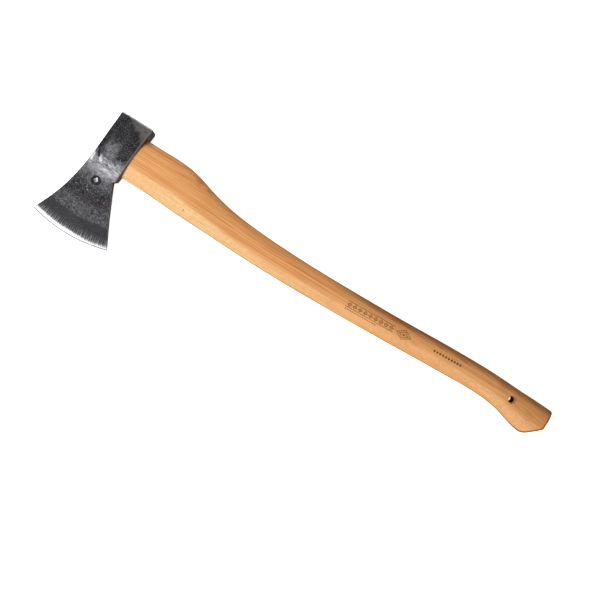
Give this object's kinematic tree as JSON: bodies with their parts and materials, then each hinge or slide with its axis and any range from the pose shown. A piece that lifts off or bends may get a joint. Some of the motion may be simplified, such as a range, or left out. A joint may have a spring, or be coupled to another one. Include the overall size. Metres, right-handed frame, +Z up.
{
  "type": "felling axe",
  "caption": "Felling axe: forged single-bit head on a long curved hardwood haft, held by a wooden wedge and a round steel wedge, with a lanyard hole in the knob.",
  "frame": {"origin": "centre of the bounding box at its lowest level, where the axe lies on its cheek", "axes": "+X along the haft from the head to the butt, +Y towards the poll and away from the cutting edge, +Z up through the thickness; the axe is mirror-symmetric about its mid-plane z = 0.0165 m"},
  "size_m": [0.8392, 0.204, 0.033],
  "materials": {
    "forged_steel": "dark forge scale on the cheeks, bright ground cutting bevel",
    "oiled_hickory": "sanded and oiled, satin",
    "wedge_wood": "sawn end grain, oiled",
    "wedge_steel": "bare steel, hammered flush"
  },
  "bodies": {
    "root": {"axe_head": "forged_steel", "haft": "oiled_hickory", "wood_wedge": "wedge_wood", "ring_wedge": "wedge_steel"}
  },
  "joints": []
}
